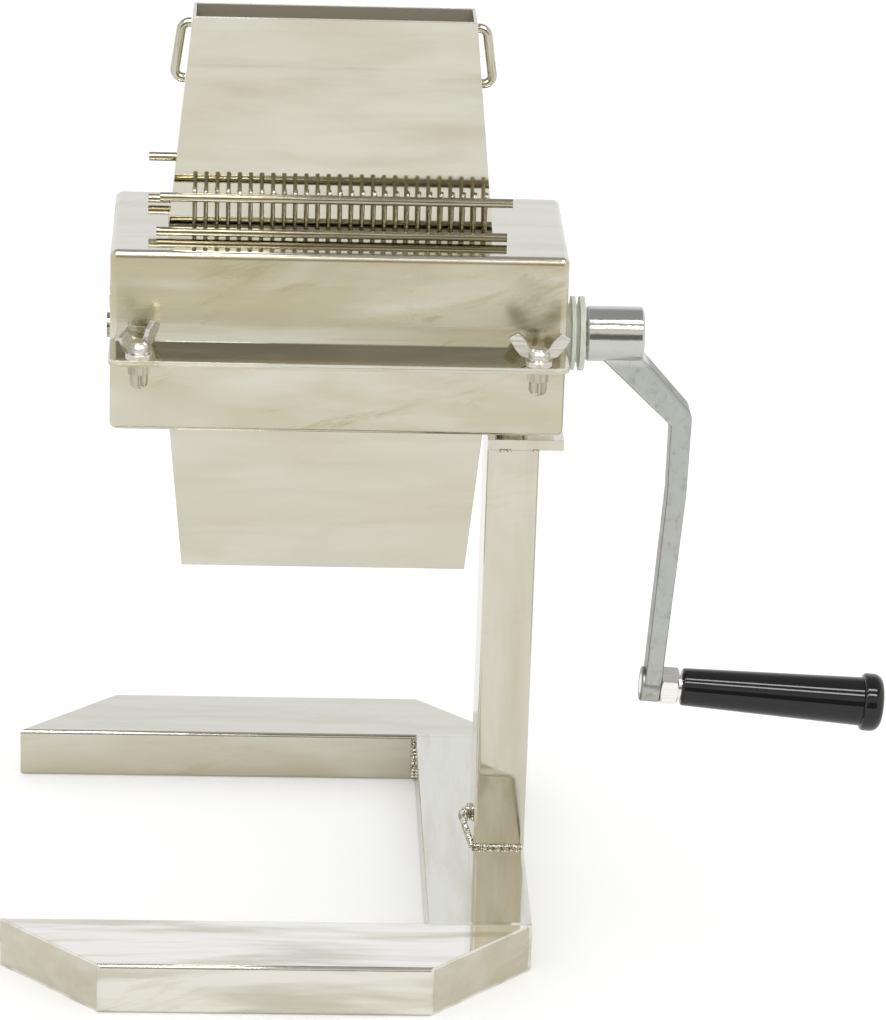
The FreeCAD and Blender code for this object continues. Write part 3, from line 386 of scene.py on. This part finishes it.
# Weld metal as it froze: bright crests and sooty, oxidised hollows a millimetre apart
weldMetal = {"crest": "#e2dfd3", "hollow": "#6f6858",
             "patterns": {"speckle": {"size": (1.1, 1.1, 1.1), "detail": 3.0, "rough": 0.6}},
             "hollowIn": (0.45, 0.62), "rough": (0.35, 0.7, 0.12, 0.4), "height": 0.35, "shown": 0.8}


def frozenWeld(name):
    look = weldMetal
    material, tree = newMaterial(name)
    speckle = patternFields(tree, look["patterns"])["speckle"]
    hollow = addNode(tree, "MapRange", (speckle, *look["hollowIn"]), **smooth)
    shade = addNode(tree, "Mix", {0: hollow, 6: look["crest"], 7: look["hollow"]}, 2, **inColour)
    rough = addNode(tree, "MapRange", (speckle, *look["rough"]), **smooth)
    normal = addNode(tree, "Bump", {"Height": speckle, "Distance": look["height"] * mm,
                                    "Strength": look["shown"]})
    shader = addNode(tree, "BsdfPrincipled", {"Metallic": 1.0, "Base Color": shade, "Roughness": rough,
                                              "Normal": normal})
    addNode(tree, "OutputMaterial", {"Surface": shader})
    return material


def dress(names, material):
    for name in names:
        nodes[name].data.materials.clear()
        nodes[name].data.materials.append(material)


for name, piece in stainlessPieces.items():
    dress(piece["nodes"], polishedStainless(name, piece))
for name, piece in drawnPieces.items():
    dress(piece["nodes"], drawnSteel(name, piece))
dress(["crank_arm"], platedCasting("platedCasting"))
dress([name for name in nodes if "bush" in name], naturalNylon("naturalNylon"))
dress(["grip"], mouldedPhenolic("mouldedPhenolic"))
beamSteel = nodes["base_side_beam"].data.materials[0]
weldSteel = frozenWeld("weldBead")
print("materials assigned")


# mesh helpers
def closedTube(rings):
    # rings is an array of rows by columns by 3 whose first and last rows are single points; the rows
    # between run round the piece, and each end closes on its point as a fan
    rows, columns = rings.shape[:2]
    points = np.concatenate([rings[:1, 0], rings[1:-1].reshape(-1, 3), rings[-1:, 0]])
    index = 1 + np.arange((rows - 2) * columns).reshape(rows - 2, columns)
    index = np.concatenate([index, index[:, :1]], axis=1)
    quads = np.stack([index[:-1, :-1], index[1:, :-1], index[1:, 1:], index[:-1, 1:]], axis=-1).reshape(-1, 4)
    last = len(points) - 1
    fans = [(0, a, b) for a, b in zip(index[0, :-1], index[0, 1:])]
    fans += [(last, b, a) for a, b in zip(index[-1, :-1], index[-1, 1:])]
    return points, [tuple(int(i) for i in face) for face in fans + quads.tolist()]


def outwards(points, faces):
    # turns every face round where the enclosed volume comes out negative
    volume = sum(np.dot(points[f[0]], np.cross(points[f[i]], points[f[i + 1]]))
                 for f in faces for i in range(1, len(f) - 1))
    return faces if volume > 0 else [face[::-1] for face in faces]


def addPiece(name, points, faces, material, body):
    mesh = bpy.data.meshes.new(name)
    mesh.from_pydata(points.tolist(), [], faces)
    piece = bpy.data.objects.new(name, mesh)
    bpy.context.scene.collection.objects.link(piece)
    mesh.materials.append(material)
    mesh.polygons.foreach_set("use_smooth", [True] * len(mesh.polygons))
    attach(piece, body)


def corners(node):
    # the two corners of a node's box in mm
    low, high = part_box(node)
    return [c / mm for c in low], [c / mm for c in high]


postLow, postHigh = corners("post")
beamLow, beamHigh = corners("base_side_beam")
plateBottom = corners("mounting_plate")[0][2]

# Weld beads: a chain of overlapping scales, half sunk in the corner that it fills. footOut to plateDown
# say how far the middle of a bead stands off its corner.
weld = {"around": 14, "perRipple": 10, "fewestRows": 16, "swell": 0.42, "scaleLean": 0.7, "wander": 0.125,
        "sideways": (0.3, 0.5, 0.81), "footOut": 0.3, "footUp": 0.2, "cornerOut": 0.5, "plateIn": 0.2,
        "plateDown": 0.2}
footFront, footBack = postLow[1] - weld["footOut"], postHigh[1] + weld["footOut"]
footZ, cornerX = postLow[2] + weld["footUp"], beamLow[0] - weld["cornerOut"]
plateY, plateZ = postLow[1] + weld["plateIn"], plateBottom - weld["plateDown"]

# where each bead starts and ends, its radius and the length of its scales
beads = {
    "post_foot_bead_front": ((postLow[0] - 1, footFront, footZ), (postHigh[0] - 0.6, footFront, footZ),
                             1.95, 1.15),
    "post_foot_bead_back": ((postLow[0], footBack, footZ), (postHigh[0] - 0.6, footBack, footZ),
                            1.95, 1.15),
    "post_foot_bead_side": ((postLow[0] - 0.6, postLow[1], footZ), (-16.5, 8, footZ), 1.5, 1.15),
    "post_foot_blob": ((-16.6, 11, footZ + 0.4), (-11.8, 21, footZ + 0.6), 3.2, 2.2),
    "beam_corner_bead_front": ((cornerX, beamLow[1] + 0.5, 1.4), (cornerX, beamLow[1] + 0.5, 24), 1.9, 1.9),
    "beam_corner_bead_rear": ((cornerX, beamHigh[1] - 0.5, 1.4), (cornerX, beamHigh[1] - 0.5, 24), 1.9, 1.9),
    "plate_bead_0": ((-7, plateY, plateZ), (-1, plateY, plateZ), 0.9, 1.2),
    "plate_bead_1": ((9, plateY, plateZ), (postHigh[0], plateY, plateZ), 0.9, 1.2),
}


def beadRings(start, end, radius, ripple):
    # rows along the run, columns round it: the radius swells by half a sine wave in each ripple and closes
    # at both ends, the scales lean towards the end of the run, and the middle wanders a little
    start, end = np.array(start, float), np.array(end, float)
    along = end - start
    length = np.linalg.norm(along)
    along /= length
    side = np.cross(along, weld["sideways"])
    side /= np.linalg.norm(side)
    other = np.cross(along, side)
    rows = max(int(length / ripple * weld["perRipple"]), weld["fewestRows"])
    place = np.linspace(0, 1, rows)
    closing = np.sqrt(np.clip(1 - np.abs(2 * place - 1) ** (2 * length / radius), 0, 1))
    phase = (place * length / ripple) % 1
    swell = 1 - weld["swell"] + weld["swell"] * np.sin(math.pi * phase ** weld["scaleLean"])
    drift = np.cumsum(rng.normal(0, 1, rows))
    drift = (drift - np.linspace(drift[0], drift[-1], rows)) / max(np.abs(drift).max(), 1e-9)
    turn = np.linspace(0, 2 * math.pi, weld["around"], endpoint=False)
    ring = np.cos(turn)[None, :, None] * side + np.sin(turn)[None, :, None] * other
    wander = np.outer(drift * radius * weld["wander"], side + other)
    centre = start + np.outer(place * length, along) + wander
    return (centre[:, None, :] + ring * (radius * swell * closing)[:, None, None]) * mm


for name, bead in beads.items():
    points, faces = closedTube(beadRings(*bead))
    addPiece(name, points, outwards(points, faces), weldSteel, "frame")

# Ground welds: the joints on the base's top are filled and ground flush, a flat strip in each groove.
# Each section is its place from one end or the other and its share of the full size.
groundWeld = {"width": 3.6, "depth": 1.6, "proud": 0.02, "squareness": 9, "around": 40, "inset": (0.6, 2.2),
              "offJoint": 0.9, "sections": ((0, 0.0, 0.0), (0, 0.0, 0.94), (0, 0.3, 1.0),
                                            (1, -0.3, 1.0), (1, 0.0, 0.94), (1, 0.0, 0.0))}


def groundStrip(name, y):
    # a flattened superellipse swept along the joint: its width and depth, each as a share of the full one
    # to the power of squareness, add up to one
    turn = np.linspace(0, 2 * math.pi, groundWeld["around"], endpoint=False)
    power = 2 / groundWeld["squareness"]
    acrossJoint = groundWeld["width"] / 2 * np.sign(np.cos(turn)) * np.abs(np.cos(turn)) ** power
    depth = groundWeld["depth"] / 2 * np.sign(np.sin(turn)) * np.abs(np.sin(turn)) ** power
    middle = np.array((0, y, beamHigh[2] + groundWeld["proud"] - groundWeld["depth"] / 2))
    ring = np.stack([np.zeros_like(turn), acrossJoint, depth], axis=-1)
    ends = (beamLow[0] + groundWeld["inset"][0], beamHigh[0] - groundWeld["inset"][1])
    rings = np.stack([middle + (ends[end] + shift, 0, 0) + ring * share
                      for end, shift, share in groundWeld["sections"]]) * mm
    points, faces = closedTube(rings)
    addPiece(name, points, outwards(points, faces), beamSteel, "frame")


groundStrip("ground_weld_front", beamLow[1] - groundWeld["offJoint"])
groundStrip("ground_weld_rear", beamHigh[1] + groundWeld["offJoint"])
print("welds made")

# Tack welds: a small round dot where each tine passes over its upper rod, on the side facing the rod
tack = {"radius": 1.15, "along": 2.0, "off": 1.5, "rows": 9, "columns": 12, "count": 27, "tineRadius": 1.0,
        "sizes": (0.85, 1.12), "scatter": 0.18}


def tackDots(comb, outer):
    # a ball at each tine, of its own size and a little out of place. outer is -1 for the front comb and 1
    # for the rear one: the tines lean away from the middle upwards
    tineLow, tineHigh = corners(comb + "_tines")
    rodLow, rodHigh = corners(comb + "_upper_rod")
    rodY, rodZ = (rodLow[1] + rodHigh[1]) / 2, (rodLow[2] + rodHigh[2]) / 2
    count, radius = tack["count"], tack["tineRadius"]
    lean = math.atan2(tineHigh[1] - tineLow[1] - 2 * radius, tineHigh[2] - tineLow[2])
    up = np.array((0, outer * math.sin(lean), math.cos(lean)))
    towardTine = np.array((0, -outer * math.cos(lean), math.sin(lean)))
    x = np.linspace(tineLow[0] + radius, tineHigh[0] - radius, count)
    centres = np.array((0, rodY, rodZ)) + up * tack["along"] + towardTine * tack["off"]
    polar = np.linspace(0, math.pi, tack["rows"])
    turn = np.linspace(0, 2 * math.pi, tack["columns"], endpoint=False)
    ball = np.stack([np.outer(np.cos(polar), np.ones_like(turn)), np.outer(np.sin(polar), np.cos(turn)),
                     np.outer(np.sin(polar), np.sin(turn))], axis=-1) * tack["radius"]
    points, faces = closedTube(ball)
    faces = outwards(points, faces)
    sizes = rng.uniform(*tack["sizes"], count)
    shifts = rng.normal(0, tack["scatter"], (count, 3))
    allPoints = np.concatenate([points * size + centres + (place, 0, 0) + shift
                                for place, size, shift in zip(x, sizes, shifts)]) * mm
    allFaces = [tuple(i + k * len(points) for i in face) for k in range(count) for face in faces]
    addPiece(comb + "_tack_welds", allPoints, allFaces, weldSteel, comb)


tackDots("front_comb", -1)
tackDots("rear_comb", 1)
print("tack welds made")

# Studio: a white floor that runs into a white wall behind, a grey ceiling, a dim room in front with a pale
# strip of wall above it, and two pairs of strip softboxes over the front. Lengths in m, angles in degrees;
# head is the place that the softboxes face.
studio = {
    "paper": "#fbfbfa", "paperRough": 0.9, "paperGlow": "#fff0cc", "floorHalf": 9.0, "floorLift": 0.16,
    "floorGlow": 0.03, "skyLight": 1.0, "wallY": -2.35, "wallHalf": 1.5,
    "dimHeight": 1.012, "dimFootHeight": 0.9, "dimColour": "#a09c93", "dimFoot": "#75736f",
    "paleHeights": (1.165, 1.42), "paleFade": (-0.01, 0.075), "paleColour": (1.2, 1.22, 1.32, 1.0),
    "plainColour": (0.92, 0.88, 0.8, 1.0),
    "stripDistance": 1.2, "stripWidth": 0.17, "stripLight": 10.0, "stripHeights": (49.0, 73.0),
    "stripSpans": ((-0.85, -0.115), (0.125, 0.85)), "head": (0.0, -0.08, 0.28),
}
white = (1, 1, 1, 1)


def stagePanel(name, cornerPoints, material, glossyOnly=True):
    mesh = bpy.data.meshes.new(name)
    mesh.from_pydata([tuple(float(c) for c in p) for p in cornerPoints], [], [(0, 1, 2, 3)])
    mesh.materials.append(material)
    panel = bpy.data.objects.new(name, mesh)
    bpy.context.scene.collection.objects.link(panel)
    if glossyOnly:
        panel.visible_camera = False
        panel.visible_diffuse = False
        panel.visible_shadow = False
        panel.visible_transmission = False


def seenDirectly(tree):
    # 1 on camera, glossy and transmission rays
    onCamera, glossy, transmitted = [addNode(tree, "LightPath", output=f"Is {ray} Ray")
                                     for ray in ("Camera", "Glossy", "Transmission")]
    seen = addNode(tree, "Math", (onCamera, glossy), **plus)
    return onCamera, addNode(tree, "Math", (seen, transmitted), use_clamp=True, **plus)


paper, tree = newMaterial("whitePaper")
onCamera, direct = seenDirectly(tree)
lift = addNode(tree, "Mix", {0: onCamera, 2: studio["floorGlow"], 3: studio["floorLift"]})
lift = addNode(tree, "Math", (lift, direct), **times)
glow = addNode(tree, "Mix", {0: onCamera, 6: studio["paperGlow"], 7: white}, 2, **inColour)
shader = addNode(tree, "BsdfPrincipled", {
    "Base Color": studio["paper"], "Roughness": studio["paperRough"], "Specular IOR Level": 0.0,
    "Emission Strength": lift, "Emission Color": glow})
addNode(tree, "OutputMaterial", {"Surface": shader})
half = studio["floorHalf"]
stagePanel("floor", [(-half, -half, 0), (half, -half, 0), (half, half, 0), (-half, half, 0)], paper, False)

# two upright panels in front, one darker at its foot, the other running into the plain room to the right
wallY, wallHalf = studio["wallY"], studio["wallHalf"]
for name, materialName, low, high, axis, fade, first, second in (
        ("dim_room", "dimRoom", 0, studio["dimHeight"], "Z", (studio["dimFootHeight"], studio["dimHeight"]),
         studio["dimFoot"], studio["dimColour"]),
        ("pale_wall", "paleWall", *studio["paleHeights"], "X", studio["paleFade"],
         studio["paleColour"], studio["plainColour"])):
    wallMaterial, tree = newMaterial(materialName)
    across = addNode(tree, "SeparateXYZ", (addNode(tree, "TexCoord", output="Object"),), axis)
    fade = addNode(tree, "MapRange", (across, *fade), **smooth)
    colour = addNode(tree, "Mix", {0: fade, 6: first, 7: second}, 2, **inColour)
    glow = addNode(tree, "Emission", {"Color": colour, "Strength": 1.0})
    addNode(tree, "OutputMaterial", {"Surface": glow})
    stagePanel(name, [(-wallHalf, wallY, low), (wallHalf, wallY, low), (wallHalf, wallY, high),
                      (-wallHalf, wallY, high)], wallMaterial)

softbox, tree = newMaterial("softbox")
glow = addNode(tree, "Emission", {"Color": white, "Strength": studio["stripLight"]})
addNode(tree, "OutputMaterial", {"Surface": glow})
for i, elevation in enumerate(studio["stripHeights"]):
    rise = math.radians(elevation)
    centre = np.array((0, -math.cos(rise), math.sin(rise))) * studio["stripDistance"] + studio["head"]
    reach = np.array((0, math.sin(rise), math.cos(rise))) * studio["stripWidth"] / 2
    for k, (x0, x1) in enumerate(studio["stripSpans"]):
        left, right = np.array((x0, 0, 0)), np.array((x1, 0, 0))
        stagePanel(f"softbox_{i}_{k}", [centre + left - reach, centre + right - reach, centre + right + reach,
                                        centre + left + reach], softbox)

# world: even light for matt things, white where the camera sees it, and for polished ones the room. Each
# list is the room's colour against the sine of the height over the horizon.
room = {
    "behind": ((0.0, (0.95, 0.96, 1.0)), (0.47, (0.95, 0.96, 1.0)), (0.62, (0.6, 0.6, 0.62)),
               (0.75, (0.42, 0.42, 0.42)), (1.0, (0.4, 0.4, 0.39))),
    "before": ((0.0, (0.9, 0.87, 0.8)), (0.36, (0.92, 0.88, 0.8)), (0.62, (0.8, 0.77, 0.72)),
               (0.72, (0.45, 0.44, 0.41)), (1.0, (0.4, 0.4, 0.39))),
    "turn": (-0.75, -0.3),  # y of the ray's direction between which one room runs into the other
}
world = bpy.data.worlds.new("studio")
bpy.context.scene.world = world
world.use_nodes = True
sky = world.node_tree
sky.nodes.clear()
directionY, directionZ = [addNode(sky, "SeparateXYZ", (addNode(sky, "TexCoord", output="Generated"),), axis)
                          for axis in "YZ"]
sides = []
for side in ("behind", "before"):
    band = addNode(sky, "ValToRGB", (directionZ,), "Color")
    elements = band.node.color_ramp.elements
    while len(elements) < len(room[side]):
        elements.new(0.5)
    for element, (position, colour) in zip(elements, room[side]):
        element.position = position
        element.color = (*colour, 1.0)
    sides.append(band)
before = addNode(sky, "MapRange", (directionY, *room["turn"], 1.0, 0.0), **smooth)
roomColour = addNode(sky, "Mix", {0: before, 6: sides[0], 7: sides[1]}, 2, **inColour)
onCamera, direct = seenDirectly(sky)
directColour = addNode(sky, "Mix", {0: onCamera, 6: roomColour, 7: white}, 2, **inColour)
shown = addNode(sky, "Mix", {0: direct, 6: white, 7: directColour}, 2, **inColour)
strength = addNode(sky, "Mix", {0: direct, 2: studio["skyLight"], 3: 1.0})
addNode(sky, "OutputWorld", {"Surface": addNode(sky, "Background", {"Color": shown, "Strength": strength})})
print("studio made")

# camera: place in mm, angles in radians, focal length and centre in pixels of the 886 x 1020 frame
view = {"place": (-130.5, -2187.8, 1039.0), "yaw": 0.0522, "pitch": 0.3683, "roll": -0.0354,
        "focal": 4819.9, "centre": (475.2, 511.3), "frame": (886, 1020), "sensor": 36.0, "farthest": 50}


def cameraAxes():
    # right, up and backward, turned by yaw and pitch and then rolled
    yaw, pitch, roll = view["yaw"], view["pitch"], view["roll"]
    forward = np.array([math.sin(yaw) * math.cos(pitch), math.cos(yaw) * math.cos(pitch), -math.sin(pitch)])
    level = np.array([math.cos(yaw), -math.sin(yaw), 0.0])
    down = -np.cross(level, forward)
    across = math.cos(roll) * level + math.sin(roll) * down
    below = -math.sin(roll) * level + math.cos(roll) * down
    return across, -below, -forward


across, above, behind = cameraAxes()
cameraData = bpy.data.cameras.new("camera")
camera = bpy.data.objects.new("camera", cameraData)
bpy.context.scene.collection.objects.link(camera)
place = [c * mm for c in view["place"]]
camera.matrix_world = Matrix([[across[i], above[i], behind[i], place[i]] for i in range(3)] + [[0, 0, 0, 1]])
longSide = max(view["frame"])
cameraData.sensor_width = view["sensor"]
cameraData.lens = view["focal"] * view["sensor"] / longSide
cameraData.shift_x = (view["frame"][0] / 2 - view["centre"][0]) / longSide
cameraData.shift_y = (view["centre"][1] - view["frame"][1] / 2) / longSide
cameraData.clip_end = view["farthest"]
bpy.context.scene.camera = camera
bpy.context.scene.view_settings.view_transform = "Standard"

print("scene ready")
